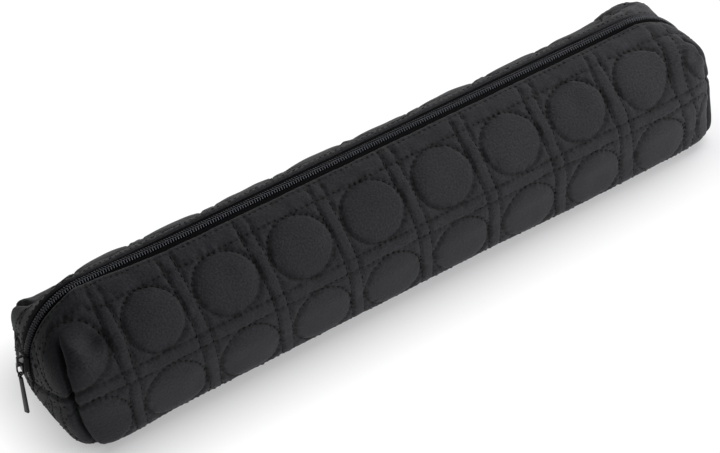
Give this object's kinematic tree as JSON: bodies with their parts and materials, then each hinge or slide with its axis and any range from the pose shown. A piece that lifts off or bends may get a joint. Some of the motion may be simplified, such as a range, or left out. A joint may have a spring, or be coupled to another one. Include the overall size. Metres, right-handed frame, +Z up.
{
  "type": "quilted zip case",
  "caption": "Long soft quilted fabric case with a flat base, closed by a coil zip that runs over its top and down both ends.",
  "frame": {"origin": "centre of the flat base, on the surface that the case stands on", "axes": "+X along the case, away from the end where the closed zip's slider hangs; -Y towards the front side; +Z up"},
  "size_m": [0.3681, 0.0844, 0.0659],
  "materials": {
    "cover": "matt woven fabric, quilted",
    "wadding": "soft wadding",
    "lining": "plain woven lining",
    "binding": "woven tape",
    "zip_tape": "woven tape",
    "zip_coil": "satin",
    "zip_metal": "gloss black"
  },
  "bodies": {
    "base": {"base_cover": "cover", "base_wadding": "wadding", "base_lining": "lining", "left_zip_tail": "zip_tape", "right_zip_tail": "zip_tape", "left_seam_binding": "binding", "right_seam_binding": "binding"},
    "front_side": {"front_cover": "cover", "front_wadding": "wadding", "front_lining": "lining", "front_zip_tape": "zip_tape", "front_zip_coil": "zip_coil"},
    "back_side": {"back_cover": "cover", "back_wadding": "wadding", "back_lining": "lining", "back_zip_tape": "zip_tape", "back_zip_coil": "zip_coil"},
    "slider": {"slider_body": "zip_metal"},
    "link": {"pull_link": "zip_metal"},
    "bar": {"pull_bar": "zip_metal"}
  },
  "joints": [
    {"name": "front_side_opens", "type": "hinge", "parent": "base", "child": "front_side", "pos_m": [0, -0.03174, 0.00176], "axis": [1, 0, 0], "range_deg": [0, 22]},
    {"name": "back_side_opens", "type": "hinge", "parent": "base", "child": "back_side", "pos_m": [0, 0.03174, 0.00176], "axis": [-1, 0, 0], "range_deg": [0, 22]},
    {"name": "slider_runs", "type": "hinge", "parent": "base", "child": "slider", "pos_m": [-0.1467, 0, 0.0304], "axis": [0, 1, 0], "range_deg": [0, 77]},
    {"name": "link_swings", "type": "hinge", "parent": "slider", "child": "link", "pos_m": [-0.18328, 0, 0.03866], "axis": [0, 1, 0], "range_deg": [0, 95]},
    {"name": "bar_swings", "type": "hinge", "parent": "link", "child": "bar", "pos_m": [-0.1846, 0, 0.03271], "axis": [0, 1, 0], "range_deg": [-5, 85]}
  ]
}
